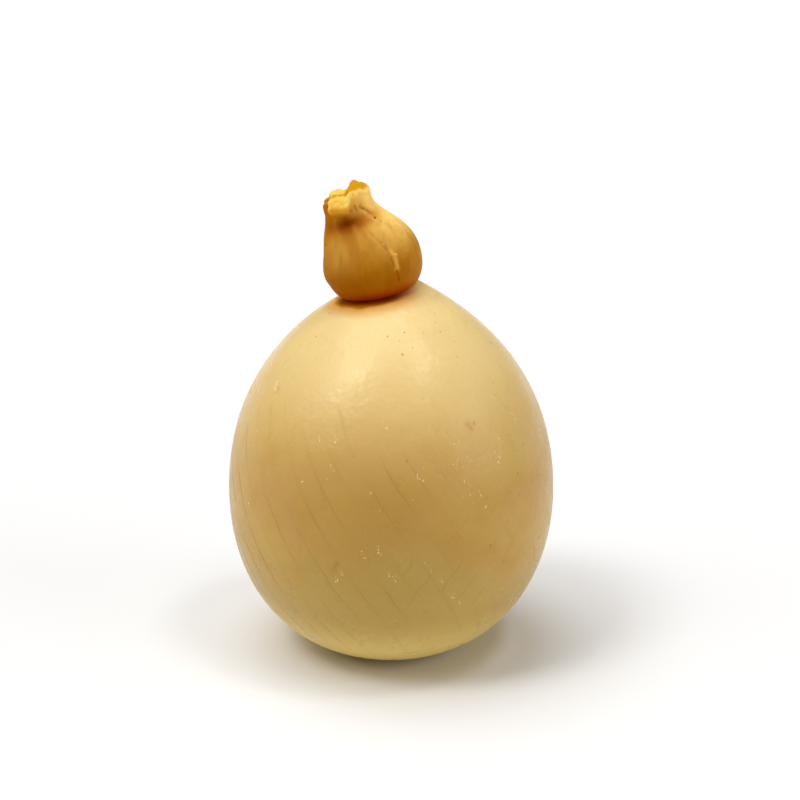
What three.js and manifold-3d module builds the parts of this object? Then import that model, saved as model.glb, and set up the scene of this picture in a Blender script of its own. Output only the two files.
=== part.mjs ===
// Caciocavallo, a stretched-curd cheese made in one piece. Millimetres, Z up, the floor at Z = 0, the front at -Y.
// An egg-shaped body rests on a small flat spot. A bulb leans out of its shoulder over a narrow neck and
// gathers into a pleated waist and a torn, flared tuft.

import * as THREE from 'three';
import { mergeVertices } from 'three/addons/utils/BufferGeometryUtils.js';
import Module from 'manifold-3d';

// Body: half profile of the egg
const BODY_RADIUS = 71;
const EQUATOR_Z = 71.6;
const FOOT_RADIUS = 16;
const FOOT_SWEEP = 27.2;
const BELLY_DROP = 45.9;
const BELLY_RISE = 50;
const SHOULDER_RUN = 33.7;
const SHOULDER_SLOPE = THREE.MathUtils.degToRad(29.2);
const SHOULDER_END_RADIUS = 12;
const SHOULDER_END_Z = 163.9;
const BODY_UNEVEN = 0.35;
const UNEVEN_THIRD = 0.6;
const UNEVEN_TURN = 1.1;
const BODY_SIDES = 72;
const BODY_CURVE_STEPS = 13;

// Shoulder: pressed down a little on the left, where the head leans over it
const PRESS_DEPTH = 1.3;
const PRESS_DIRECTION = 180;
const PRESS_SPREAD = 65;
const PRESS_RADIUS = 40;

// Head: half profile along its own leaning centre line, heights over the floor. Reaches are curve handles
const NECK_RADIUS = 12.3;
const NECK_ROOT_Z = 148;
const CREASE = { z: 160.2, reachOut: 5.2, reachDown: 0.6 };
const BULB = { radius: 21.1, z: 173.5, reachDown: 7, reachUp: 7.5 };
const WAIST = { radius: 11.4, z: 194.0, reachOut: 2.7, reachDown: 5.8, reachIn: 1.2, reachUp: 1.6 };
const RIM = { radius: 10.6, z: 199.8, reachDown: 2.5, reachUp: 2 };
const SLIT = { radius: 4.0, z: 200.2, reachOut: 2.4, reachUp: 1.8, floorZ: 196.4, floorReach: 2.2, reachDown: 2 };
const HEAD_SIDES = 72;
const BULB_STEPS = 11;
const TUFT_STEPS = 6;

// Head: centre line, leaning to the left and a little to the front
const SPINE_ROOT = new THREE.Vector3(-2.7, -0.5, 149.5);
const LEAN_LEFT = 0.2;
const LEAN_FRONT = 0.09;
const SWAY_LEFT = 5;
const SWAY_FROM_Z = 168;
const SWAY_TO_Z = 200;

// Tuft: pleats, torn lobes and the slit between them. Degrees turn from +X towards +Y, so the front is -90
const PLEAT_COUNT = 9;
const PLEAT_DEPTH = 0.7;
const PLEAT_FADE_Z = 178;
const SMOOTH_SIDE = { direction: -12, spread: 48 };
const FRONT_LIP = { direction: -116, spread: 44, out: 2.3, up: 3.4 };
const FRONT_FOLD = { direction: -62, spread: 26, out: 1.1, up: 0 };
const LEFT_FLAP = { direction: 180, spread: 26, out: -1.5, up: -0.8 };
const RIGHT_SIDE = { direction: 24, spread: 60, out: -0.9, up: 0 };
const TUFT_LOBES = [FRONT_LIP, FRONT_FOLD, LEFT_FLAP, RIGHT_SIDE];
const TALL_LOBE = { fromX: -0.5, fullX: 3.2, up: 4.2, fallX: 3, farX: 11, fall: 2.6 };
const LOBE_FROM_Z = 193.6;
const LOBE_FULL_Z = 197;
const HOLLOW = { direction: -106, spread: 34, z: 192.6, height: 2.8, depth: 2 };
const SLIT_NARROWING = 0.45;
const SLIT_SHIFT = 1.6;

const RIND_COLOUR = 0xd9b066;
const RIND_ROUGHNESS = 0.45;

const { smoothstep, degToRad, lerp } = THREE.MathUtils;

// One at the middle direction, fading evenly to nothing on both sides of it
function bell(angle, middleDeg, spreadDeg) {
  const away = Math.atan2(Math.sin(angle - degToRad(middleDeg)), Math.cos(angle - degToRad(middleDeg)));
  return Math.exp(-((away / degToRad(spreadDeg)) ** 2));
}

// The egg from the middle of the flat spot, around the belly and up the shoulder to the axis inside the head
function bodyProfile() {
  const egg = new THREE.Path();
  egg.moveTo(FOOT_RADIUS, 0);
  egg.bezierCurveTo(
    FOOT_RADIUS + FOOT_SWEEP, 0,
    BODY_RADIUS, EQUATOR_Z - BELLY_DROP,
    BODY_RADIUS, EQUATOR_Z,
  );
  egg.bezierCurveTo(
    BODY_RADIUS, EQUATOR_Z + BELLY_RISE,
    SHOULDER_END_RADIUS + SHOULDER_RUN * Math.cos(SHOULDER_SLOPE),
    SHOULDER_END_Z - SHOULDER_RUN * Math.sin(SHOULDER_SLOPE),
    SHOULDER_END_RADIUS, SHOULDER_END_Z,
  );
  return [new THREE.Vector2(0, 0), ...egg.getPoints(BODY_CURVE_STEPS), new THREE.Vector2(0, SHOULDER_END_Z)];
}

// The head from the neck root inside the body, around the bulb, waist and rim, down to the floor of the slit
function headProfile() {
  const bulb = new THREE.Path();
  bulb.moveTo(NECK_RADIUS, CREASE.z);
  bulb.bezierCurveTo(
    NECK_RADIUS + CREASE.reachOut, CREASE.z - CREASE.reachDown,
    BULB.radius, BULB.z - BULB.reachDown,
    BULB.radius, BULB.z,
  );
  bulb.bezierCurveTo(
    BULB.radius, BULB.z + BULB.reachUp,
    WAIST.radius + WAIST.reachOut, WAIST.z - WAIST.reachDown,
    WAIST.radius, WAIST.z,
  );
  const tuft = new THREE.Path();
  tuft.moveTo(WAIST.radius, WAIST.z);
  tuft.bezierCurveTo(
    WAIST.radius - WAIST.reachIn, WAIST.z + WAIST.reachUp,
    RIM.radius, RIM.z - RIM.reachDown,
    RIM.radius, RIM.z,
  );
  tuft.bezierCurveTo(
    RIM.radius, RIM.z + RIM.reachUp,
    SLIT.radius + SLIT.reachOut, SLIT.z + SLIT.reachUp,
    SLIT.radius, SLIT.z,
  );
  tuft.bezierCurveTo(
    SLIT.radius - SLIT.reachOut / 2, SLIT.z - SLIT.reachDown,
    SLIT.floorReach, SLIT.floorZ,
    0, SLIT.floorZ,
  );
  return [
    new THREE.Vector2(0, NECK_ROOT_Z),
    new THREE.Vector2(NECK_RADIUS, NECK_ROOT_Z),
    ...bulb.getPoints(BULB_STEPS),
    ...tuft.getPoints(TUFT_STEPS).slice(1),
  ];
}

// A closed round of the profile about Z, with the seam and the poles welded
function turned(profile, sides) {
  const round = new THREE.LatheGeometry(profile, sides).rotateX(Math.PI / 2);
  round.deleteAttribute('normal');
  round.deleteAttribute('uv');
  return mergeVertices(round);
}

// Moves every vertex by the given function of its radius, direction and height
function reshaped(geometry, place) {
  const position = geometry.getAttribute('position');
  for (let i = 0; i < position.count; i += 1) {
    const radius = Math.hypot(position.getX(i), position.getY(i));
    const angle = Math.atan2(position.getY(i), position.getX(i));
    const moved = place(radius, angle, position.getZ(i));
    position.setXYZ(i, moved.x, moved.y, moved.z);
  }
  return geometry;
}

// The hand-rolled egg is a little out of round, most at the belly and not at all on the flat spot
function placeOnBody(radius, angle, z) {
  const swell = smoothstep(z, 0, EQUATOR_Z) * (1 - smoothstep(z, EQUATOR_Z, SHOULDER_END_Z));
  const uneven = Math.cos(2 * angle + z / BODY_RADIUS) + UNEVEN_THIRD * Math.cos(3 * angle + UNEVEN_TURN);
  const out = radius + BODY_UNEVEN * swell * uneven;
  const near = z > EQUATOR_Z ? 1 - smoothstep(radius, SHOULDER_END_RADIUS, PRESS_RADIUS) : 0;
  const down = PRESS_DEPTH * near * bell(angle, PRESS_DIRECTION, PRESS_SPREAD);
  return new THREE.Vector3(out * Math.cos(angle), out * Math.sin(angle), z - down);
}

// Centre line of the head at a height: straight lean plus a sway that straightens again at the tuft
function spineAt(z) {
  const rise = z - SPINE_ROOT.z;
  return new THREE.Vector3(
    SPINE_ROOT.x - LEAN_LEFT * rise - SWAY_LEFT * smoothstep(z, SWAY_FROM_Z, SWAY_TO_Z),
    SPINE_ROOT.y - LEAN_FRONT * rise,
    z,
  );
}

// Folds of the gathered waist, unevenly spaced around it and smoothed out on the right
function pleat(angle) {
  const folds = Math.cos(PLEAT_COUNT * angle + Math.sin(2 * angle)) + Math.cos((PLEAT_COUNT - 4) * angle + 2) / 2;
  return folds * (1 - bell(angle, SMOOTH_SIDE.direction, SMOOTH_SIDE.spread));
}

// Gathers, flares and splits the turned head, then carries it onto the leaning centre line
function placeOnHead(radius, angle, z) {
  const outside = smoothstep(radius, SLIT.radius, RIM.radius);
  const lobed = smoothstep(z, LOBE_FROM_Z, LOBE_FULL_Z) * smoothstep(radius, 0, RIM.radius);
  const gathered = smoothstep(z, PLEAT_FADE_Z, WAIST.z) * outside;
  const level = Math.exp(-(((z - HOLLOW.z) / HOLLOW.height) ** 2));
  const dent = HOLLOW.depth * outside * level * bell(angle, HOLLOW.direction, HOLLOW.spread);
  let out = radius + PLEAT_DEPTH * gathered * pleat(angle) - dent;
  let up = 0;
  for (const lobe of TUFT_LOBES) {
    const share = lobed * bell(angle, lobe.direction, lobe.spread);
    out += lobe.out * share;
    up += lobe.up * share;
  }
  const opening = z > WAIST.z ? 1 - outside : 0;
  const across = out * Math.cos(angle) - SLIT_SHIFT * opening;
  up += TALL_LOBE.up * lobed * smoothstep(across, TALL_LOBE.fromX, TALL_LOBE.fullX);
  up -= TALL_LOBE.fall * lobed * smoothstep(across, TALL_LOBE.fallX, TALL_LOBE.farX);
  const deep = out * Math.sin(angle) * lerp(1, SLIT_NARROWING, opening);
  const along = spineAt(z + 0.5).sub(spineAt(z - 0.5)).normalize();
  const side = new THREE.Vector3(0, 1, 0).cross(along).normalize();
  const back = along.clone().cross(side);
  return spineAt(z).addScaledVector(side, across).addScaledVector(back, deep).addScaledVector(along, up);
}

const wasm = await Module();
wasm.setup();

function solidOf(geometry) {
  const positions = new Float32Array(geometry.getAttribute('position').array);
  const triangles = new Uint32Array(geometry.index.array);
  return new wasm.Manifold(new wasm.Mesh({ numProp: 3, vertProperties: positions, triVerts: triangles }));
}

function geometryOf(solid) {
  const mesh = solid.getMesh();
  const geometry = new THREE.BufferGeometry();
  geometry.setAttribute('position', new THREE.BufferAttribute(new Float32Array(mesh.vertProperties), 3));
  geometry.setIndex(new THREE.BufferAttribute(new Uint32Array(mesh.triVerts), 1));
  geometry.computeVertexNormals();
  return geometry;
}

const body = solidOf(reshaped(turned(bodyProfile(), BODY_SIDES), placeOnBody));
const head = solidOf(reshaped(turned(headProfile(), HEAD_SIDES), placeOnHead));
const rind = new THREE.MeshStandardMaterial({ color: RIND_COLOUR, roughness: RIND_ROUGHNESS, metalness: 0 });
const cheese = new THREE.Mesh(geometryOf(body.add(head)), rind);
cheese.name = 'cheese';

const part = new THREE.Group();
part.add(cheese);

export default part;
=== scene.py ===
"""Looks of a caciocavallo, one whole stretched-curd cheese standing on a pale floor.

The skin is one closed surface turned from a half profile. Its lower part is the egg-shaped body, its upper
part is carried onto a leaning centre line and gathered into a torn tuft, and a net's imprint, nicks and
pinholes are worked into it. Pale flecks lie on it as a piece of their own. Lengths inside the classes are
millimetres, directions are degrees from +X to the left, azimuths are degrees from the front to the right, and
the finished meshes are in metres. The finishes are laid on the finished meshes, so their heights are metres.
"""

import bisect
import logging
import math
import random
from collections.abc import Iterator
from dataclasses import dataclass, field
from enum import Enum
from itertools import pairwise

import bmesh
import bpy
from bmesh.types import BMEdge, BMesh
from bpy.types import Material, Node, NodeSocket, Object
from mathutils import Matrix, Vector, noise
from mathutils.bvhtree import BVHTree
from mathutils.geometry import interpolate_bezier
from mathutils.kdtree import KDTree


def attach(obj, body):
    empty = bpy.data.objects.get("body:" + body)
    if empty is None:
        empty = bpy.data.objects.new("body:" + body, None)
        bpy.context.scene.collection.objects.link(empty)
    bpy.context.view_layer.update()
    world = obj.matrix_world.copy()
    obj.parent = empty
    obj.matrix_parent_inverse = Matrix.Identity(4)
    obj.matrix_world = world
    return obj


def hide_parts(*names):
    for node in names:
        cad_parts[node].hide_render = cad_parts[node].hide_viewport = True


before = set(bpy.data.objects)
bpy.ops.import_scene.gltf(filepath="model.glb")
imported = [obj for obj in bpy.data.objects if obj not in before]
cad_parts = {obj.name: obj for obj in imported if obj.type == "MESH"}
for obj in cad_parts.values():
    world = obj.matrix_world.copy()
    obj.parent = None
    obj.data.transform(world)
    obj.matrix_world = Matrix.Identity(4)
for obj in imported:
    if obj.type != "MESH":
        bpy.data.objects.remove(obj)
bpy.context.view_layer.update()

LOG = logging.getLogger("cheese")
MM = 0.001
WELD = 0.001
FRONT = -90.0
FULL_TURN = 360.0
BLOCK_POWER = 4

Colour = tuple[float, float, float, float]
Place = tuple[float, float]


class Tint(Enum):
    """Shares of the finish that the mesh carries at each vertex, by attribute name."""

    # Whole on the head; on the body, a painted amber reflection of the head around the crease.
    AMBER = "amber"
    # Painted light on the head's lit side and the tall lobe.
    LIGHT = "light"
    LIP = "lip"
    TORN = "torn"
    # Stains of the marks, together with painted shade in the crease, the hollow, the cleft, the slit and on
    # the left flap.
    STAIN_AND_SHADE = "stain_and_shade"
    PALE = "pale"
    LINE = "line"
    CROSS = "cross"
    # Painted shade on the belly's front, facing the camera.
    FRONT_SHADE = "deep"


class Zone(Enum):
    """The two parts of the cheese that a mark can lie on."""

    BODY = "body"
    HEAD = "head"


def clamp(share: float) -> float:
    """Keeps a share between 0 and 1."""
    return min(max(share, 0.0), 1.0)


def ease(value: float, low: float, high: float) -> float:
    """Gives a smooth step from 0 at low to 1 at high."""
    share = clamp((value - low) / (high - low))
    return share * share * (3.0 - 2.0 * share)


def bump(value: float, middle: float, width: float) -> float:
    """Gives 1 at the middle, fading evenly to nothing on both sides."""
    return math.exp(-(((value - middle) / width) ** 2))


@dataclass(frozen=True)
class Arc:
    """A stretch around an axis: its middle direction and how far it spreads to each side."""

    middle: float
    spread: float

    def away(self, direction: float) -> float:
        """Gives how many spreads a direction lies from the middle."""
        return math.remainder(direction - self.middle, FULL_TURN) / self.spread

    def bell(self, direction: float) -> float:
        """Gives 1 at the middle, fading evenly around the circle."""
        return math.exp(-(self.away(direction) ** 2))

    def block(self, direction: float) -> float:
        """Gives 1 around the middle, falling off quickly at the spread on both sides."""
        return math.exp(-(self.away(direction) ** BLOCK_POWER))


@dataclass(frozen=True)
class Patch(Arc):
    """A soft patch on a turned surface: its arc, its height, how tall it is, and its strength."""

    height: float
    tall: float
    strength: float = 1.0

    def at(self, direction: float, height: float) -> float:
        """Gives the patch's strength at a place."""
        return self.strength * self.bell(direction) * bump(height, self.height, self.tall)


@dataclass(frozen=True)
class Lobe(Arc):
    """One torn lobe of the tuft: its arc, and how far it leans out and stands up."""

    out: float
    up: float


@dataclass(frozen=True)
class Unevenness:
    """Smooth unevenness: how much there is, the size of its cells, and which part of the noise it takes."""

    amount: float
    cell: float
    seed: float = 0.0

    def at(self, spot: Vector) -> float:
        """Gives the unevenness at a place."""
        return self.amount * noise.noise(spot / self.cell + Vector((self.seed, self.seed, self.seed)))

    def around(self, direction: float, radius: float, height: float) -> float:
        """Gives the unevenness on a turned surface, the same at both ends of a full turn."""
        turn = math.radians(direction)
        return self.at(Vector((radius * math.cos(turn), radius * math.sin(turn), height)))


@dataclass(frozen=True)
class Bend:
    """A point of a half profile, with the handles by which the curve arrives at it and leaves it."""

    radius: float
    height: float
    arrive: Place = (0.0, 0.0)
    leave: Place = (0.0, 0.0)

    def point(self, handle: Place = (0.0, 0.0)) -> Vector:
        """Finds the point in the XZ plane, or the end of a handle."""
        return Vector((self.radius + handle[0], 0.0, self.height + handle[1]))

    def curve(self, end: "Bend", rows: int) -> list[Vector]:
        """Draws the curve to the next bend as rows of points, both ends included."""
        handles = (self.point(self.leave), end.point(end.arrive))
        return interpolate_bezier(self.point(), *handles, end.point(), rows)


@dataclass(frozen=True)
class Mark:
    """A mark worked into the rind along a chain of places, each an azimuth and a height.

    The depth counts inwards. The mark fades out within a few widths, and its chain goes in steps of the pace.
    """

    places: tuple[Place, ...]
    width: float
    depth: float
    stain_and_shade: float = 0.0
    pale: float = 0.0
    fade_widths: float = 2.6
    pace: float = 0.3

    @property
    def reach(self) -> float:
        """Distance from the chain beyond which the mark does nothing."""
        return self.fade_widths * self.width

    def chain(self) -> Iterator[Place]:
        """Steps closely along the places.

        Yields:
            The azimuth and height of each step.
        """
        yield self.places[0]
        for (turn, height), (next_turn, next_height) in pairwise(self.places):
            steps = math.ceil(math.hypot(next_turn - turn, next_height - height) / self.pace)
            for step in range(1, steps + 1):
                share = step / steps
                yield turn + (next_turn - turn) * share, height + (next_height - height) * share


@dataclass(frozen=True)
class Step:
    """A smooth step of a value: where it starts, where it is whole, and its strength there."""

    low: float
    high: float
    strength: float = 1.0


@dataclass(frozen=True)
class Grain:
    """Cloudy grain of a finish: cells to the metre, octaves, the levels that become 0 and 1, and strength.

    Upright is how many times as long as wide the cells stand.
    """

    scale: float
    detail: float
    low: float
    high: float
    strength: float = 1.0
    upright: float = 1.0


@dataclass
class EggBody:
    """The egg-shaped body with its flat spot, belly and shoulder."""

    foot: Bend = Bend(16.0, 0.0, leave=(27.2, 0.0))
    side: Bend = Bend(71.0, 71.6, (0.0, -45.9), (0.0, 50.0))
    shoulder_radius: float = 12.0
    shoulder_top: float = 163.9
    shoulder_run: float = 33.7
    shoulder_slope: float = 29.2
    uneven: float = 0.35
    uneven_third: float = 0.6
    uneven_turn: float = 63.0
    press: Arc = Arc(180.0, 65.0)
    press_depth: float = 1.3
    press_radius: float = 40.0
    gather_radius: float = 46.0
    # Painted shade: the belly's front, facing the camera, is darker than its sides.
    belly_front_shade: Patch = Patch(-93.0, 27.0, 72.0, 42.0, 0.75)
    foot_rows: int = 8
    belly_rows: int = 66
    shoulder_rows: int = 84
    shoulder: list[Vector] = field(init=False)

    def __post_init__(self) -> None:
        """Works out the shoulder's curve once, from the widest ring to the neck."""
        slope = math.radians(self.shoulder_slope)
        arrive = (self.shoulder_run * math.cos(slope), -self.shoulder_run * math.sin(slope))
        top = Bend(self.shoulder_radius, self.shoulder_top, arrive)
        self.shoulder = self.side.curve(top, self.shoulder_rows)

    def half_profile(self) -> list[Vector]:
        """Draws the half profile from the middle of the flat spot to the neck.

        Returns:
            Points in the XZ plane, the one on the axis first.
        """
        flat = [Vector((self.foot.radius * row / self.foot_rows, 0.0, 0.0)) for row in range(self.foot_rows)]
        belly = self.foot.curve(self.side, self.belly_rows)
        return flat + belly + self.shoulder[1:]

    def shoulder_height(self, radius: float) -> float:
        """Finds the height of the shoulder's surface.

        Args:
            radius: Distance from the body's axis.

        Returns:
            The height, on the shoulder's slope where the neck covers it.
        """
        if radius <= self.shoulder_radius:
            slope = math.tan(math.radians(self.shoulder_slope))
            return self.shoulder_top + (self.shoulder_radius - radius) * slope
        place = bisect.bisect_left(self.shoulder, -radius, key=lambda point: -point.x)
        low = self.shoulder[place - 1]
        high = self.shoulder[min(place, len(self.shoulder) - 1)]
        share = (low.x - radius) / max(low.x - high.x, WELD)
        return low.z + (high.z - low.z) * share

    def pressed(self, across: float, deep: float) -> float:
        """Finds the shoulder's height with the dip under the leaning head.

        Args:
            across: How far to the right the place is.
            deep: How far back it is.

        Returns:
            The height there.
        """
        radius = math.hypot(across, deep)
        near = 1.0 - ease(radius, self.shoulder_radius, self.press_radius)
        direction = math.degrees(math.atan2(deep, across))
        return self.shoulder_height(radius) - self.press_depth * near * self.press.bell(direction)

    def place(self, direction: float, radius: float, height: float, seat: Vector) -> Vector:
        """Sets a turned point onto the body, its rings closing around the neck's seat.

        Args:
            direction: Direction of the point's column.
            radius: Radius of its ring.
            height: Height of its ring.
            seat: Middle of the neck on the shoulder, seen from above.

        Returns:
            The place on the body.
        """
        widest = self.side.height
        swell = ease(height, 0.0, widest) * (1.0 - ease(height, widest, self.shoulder_top))
        turn = math.radians(direction)
        uneven = math.cos(2.0 * turn + height / self.side.radius)
        uneven += self.uneven_third * math.cos(3.0 * turn + math.radians(self.uneven_turn))
        out = radius + self.uneven * swell * uneven
        across = out * math.cos(turn)
        deep = out * math.sin(turn)
        if height <= widest or radius >= self.gather_radius:
            return Vector((across, deep, height))
        near = 1.0 - ease(radius, self.shoulder_radius, self.gather_radius)
        across += seat.x * near
        deep += seat.y * near
        return Vector((across, deep, self.pressed(across, deep)))


@dataclass
class LeaningHead:
    """The bulb on the shoulder, with its crease, pleated waist and torn tuft."""

    # Half profile, from the crease to the floor of the slit
    crease: Bend = Bend(12.0, 160.2, leave=(5.2, -0.6))
    bulb: Bend = Bend(21.1, 173.5, (0.0, -7.0), (0.0, 7.5))
    waist: Bend = Bend(11.4, 194.0, (2.7, -5.8), (-1.2, 1.6))
    rim: Bend = Bend(10.6, 199.8, (0.0, -2.5), (0.0, 2.0))
    slit: Bend = Bend(4.0, 200.2, (2.4, 1.8), (-1.2, -2.0))
    slit_floor: Bend = Bend(0.0, 196.4, (2.2, 0.0))
    bulb_rows: int = 36
    tuft_rows: int = 26

    # Leaning centre line, and the gap that opens outwards from the crease
    root: tuple[float, float, float] = (-2.7, -0.5, 149.5)
    lean_left: float = 0.2
    lean_front: float = 0.09
    sway: float = 5.0
    sway_from: float = 168.0
    sway_to: float = 200.0
    half_step: float = 0.5
    crease_gap: float = 0.7
    crease_run: float = 4.5

    # Gathered waist, with a hollow under the front lip and a cleft to its left
    pleats: int = 9
    side_pleats: int = 5
    side_turn: float = 115.0
    pleat_depth: float = 0.7
    pleat_fade: float = 178.0
    smooth: Arc = Arc(-12.0, 48.0)
    wrinkle: Unevenness = Unevenness(0.4, 2.1, 4.0)
    wrinkle_run: float = 0.14
    hollow: Patch = Patch(-105.0, 46.0, 193.6, 2.5, 2.5)
    cleft: Arc = Arc(-143.0, 7.0)
    cleft_depth: float = 1.6

    # Torn tuft: low lobes around it, a tall lobe on the right, and the slit, filled to a level behind it
    front_lip: Lobe = Lobe(-107.0, 29.0, 2.4, 2.5)
    lip_end: Lobe = Lobe(-62.0, 26.0, 1.1, 0.0)
    left_flap: Lobe = Lobe(180.0, 26.0, -0.9, -0.8)
    right_dip: Lobe = Lobe(24.0, 60.0, -0.5, 0.0)
    back_rim: Lobe = Lobe(112.0, 34.0, 0.0, 1.2)
    lobe_from: float = 195.0
    lobe_full: float = 198.4
    flare_full: float = 197.4
    roll: float = 1.2
    roll_z: float = 197.2
    roll_height: float = 2.0
    ragged_out: Unevenness = Unevenness(0.45, 2.6, 3.0)
    ragged_up: Unevenness = Unevenness(0.45, 2.6, 9.0)
    lumpy_out: Unevenness = Unevenness(0.8, 4.4, 6.0)
    lumpy_up: Unevenness = Unevenness(0.8, 4.4, 12.0)
    tall_from: float = -0.5
    tall_full: float = 3.2
    tall_up: float = 3.4
    tall_back: float = 3.8
    tall_fall_from: float = 3.0
    tall_fall_to: float = 11.0
    tall_fall: float = 2.6
    slit_narrow: float = 0.45
    slit_shift: float = 1.6
    fill_from: float = -1.5
    fill_full: float = 2.4
    fill_level: float = 203.9
    fill_slope: float = 0.03
    fill_lumpy: Unevenness = Unevenness(0.5, 4.4, 15.0)

    # Where the skin is torn, darkened by painted shade, pale as curd, or lightened by painted light
    torn_edge: float = 8.4
    back_torn: float = 0.2
    crease_shade: Arc = Arc(-95.0, 62.0)
    crease_least: float = 0.15
    crease_from: float = 1.8
    crease_to: float = 7.3
    hollow_shade: Patch = Patch(-105.0, 60.0, 192.3, 2.6)
    hollow_shade_strength: float = 0.72
    flap_shade: float = 0.42
    lip_tint: Arc = Arc(-101.0, 45.0)
    lip_tint_from: float = 195.8
    lip_tint_full: float = 199.3
    back_tint: float = 1.8
    light: Arc = Arc(-6.0, 64.0)
    painted_light_from: float = 171.0
    painted_light_full: float = 189.0
    left_painted_light: Patch = Patch(-128.0, 34.0, 185.0, 7.5, 0.22)
    right_painted_light: Patch = Patch(-12.0, 30.0, 167.0, 9.0, 0.16)
    tall_painted_light: Arc = Arc(-40.0, 55.0)

    def half_profile(self, lift: float) -> list[Vector]:
        """Draws the head's half profile from the crease to the floor of the slit.

        Args:
            lift: How far above its place the profile is drawn, so that its rings stay apart from the body's.

        Returns:
            Points in the XZ plane, the one on the axis last.
        """
        bends = (self.crease, self.bulb, self.waist, self.rim, self.slit, self.slit_floor)
        points: list[Vector] = []
        for start, end in pairwise(bends):
            rows = self.bulb_rows if start.height < self.waist.height else self.tuft_rows
            points += start.curve(end, rows)[1:]
        return [point + Vector((0.0, 0.0, lift)) for point in points]

    def spine(self, height: float) -> Vector:
        """Finds the head's centre line: a straight lean and a sway that ends at the tuft.

        Args:
            height: Height along the line.

        Returns:
            The place of the line.
        """
        right, back, low = self.root
        rise = height - low
        across = right - self.lean_left * rise - self.sway * ease(height, self.sway_from, self.sway_to)
        return Vector((across, back - self.lean_front * rise, height))

    def stance(self, height: float) -> tuple[Vector, Vector, Vector]:
        """Finds how the centre line stands.

        Args:
            height: Height along the line.

        Returns:
            The line's right side, its back and its way up.
        """
        along = (self.spine(height + self.half_step) - self.spine(height - self.half_step)).normalized()
        side = Vector((0.0, 1.0, 0.0)).cross(along).normalized()
        return side, along.cross(side), along

    def seat(self) -> Vector:
        """Finds the middle of the neck on the shoulder."""
        return self.spine(self.crease.height)

    def outward(self, direction: float, height: float) -> Vector:
        """Finds the way straight out from the centre line.

        Args:
            direction: Direction around the line.
            height: Height along the line.

        Returns:
            The way out, one unit long.
        """
        side, back, _ = self.stance(height)
        turn = math.radians(direction)
        return side * math.cos(turn) + back * math.sin(turn)

    def pleat(self, direction: float) -> float:
        """Gives the gathered folds, uneven around the waist and smoothed out on the right.

        Args:
            direction: Direction around the centre line.

        Returns:
            The fold's share, outwards above 0.
        """
        turn = math.radians(direction)
        folds = math.cos(self.pleats * turn + math.sin(2.0 * turn))
        folds += math.cos(self.side_pleats * turn + math.radians(self.side_turn)) / 2.0
        return folds * (1.0 - self.smooth.bell(direction))

    def outside(self, radius: float) -> float:
        """Gives 1 for the head's outer skin and less towards the middle of the slit."""
        return ease(radius, self.slit.radius, self.rim.radius)

    def lobed(self, radius: float, height: float, full: float) -> float:
        """Gives how far a ring belongs to the torn lobes, which are whole from a height on."""
        return ease(height, self.lobe_from, full) * ease(radius, 0.0, self.rim.radius)

    def cleaved(self, direction: float, radius: float, height: float) -> float:
        """Gives how deep a place lies in the cleft between the front lip and the left flap."""
        return self.cleft.bell(direction) * self.lobed(radius, height, self.lobe_full)

    def drawn_out(self, direction: float, radius: float, height: float) -> tuple[float, float]:
        """Gathers, flares and tears a turned point.

        Args:
            direction: Direction of the point's column.
            radius: Radius of its ring.
            height: Height of its ring.

        Returns:
            The radius that the point moves to, and how far it moves up.
        """
        outside = self.outside(radius)
        lobed = self.lobed(radius, height, self.lobe_full)
        flare = self.lobed(radius, height, self.flare_full)
        gathered = ease(height, self.pleat_fade, self.waist.height) * outside
        out = radius + self.pleat_depth * gathered * self.pleat(direction)
        out += gathered * self.wrinkle.around(direction, self.waist.radius, height * self.wrinkle_run)
        out -= outside * self.hollow.at(direction, height)
        out -= self.cleft_depth * outside * self.cleaved(direction, radius, height)
        out += flare * self.ragged_out.around(direction, self.rim.radius, height)
        out += flare * self.lumpy_out.around(direction, radius, height)
        up = lobed * self.ragged_up.around(direction, self.rim.radius, 0.0)
        up += lobed * self.lumpy_up.around(direction, radius, height)
        for lobe in (self.lip_end, self.left_flap, self.right_dip, self.back_rim):
            share = lobe.bell(direction)
            out += lobe.out * flare * share
            up += lobe.up * lobed * share
        lip = self.front_lip.block(direction)
        out += self.front_lip.out * flare * lip
        up += self.front_lip.up * lobed * lip
        out += self.roll * outside * lip * bump(height, self.roll_z, self.roll_height)
        return out, up

    def place(self, direction: float, radius: float, height: float, body: EggBody) -> Vector:
        """Carries a turned point onto the leaning centre line.

        Args:
            direction: Direction of the point's column.
            radius: Radius of its ring.
            height: Height of its ring.
            body: The body, whose shoulder the bulb stays just clear of.

        Returns:
            The place on the head.
        """
        out, up = self.drawn_out(direction, radius, height)
        lobed = self.lobed(radius, height, self.lobe_full)
        opening = 1.0 - self.outside(radius) if height > self.waist.height else 0.0
        turn = math.radians(direction)
        across = out * math.cos(turn) - self.slit_shift * opening
        deep = out * math.sin(turn) * (1.0 + (self.slit_narrow - 1.0) * opening)
        tall = lobed * ease(across, self.tall_from, self.tall_full)
        up += self.tall_up * tall
        deep += self.tall_back * tall
        up -= self.tall_fall * lobed * ease(across, self.tall_fall_from, self.tall_fall_to)
        filled = opening * ease(across, self.fill_from, self.fill_full)
        level = self.fill_level + self.fill_slope * deep
        level += self.fill_lumpy.around(direction, radius, height)
        up += filled * (level - height - up)
        side, back, along = self.stance(height)
        spot = self.spine(height) + side * across + back * deep + along * up
        if height < self.bulb.height:
            apart = (spot - self.seat()).xy.length
            gap = self.crease_gap * ease(apart, self.crease.radius, self.crease.radius + self.crease_run)
            spot.z = max(spot.z, body.pressed(spot.x, spot.y) + gap)
        return spot

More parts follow.
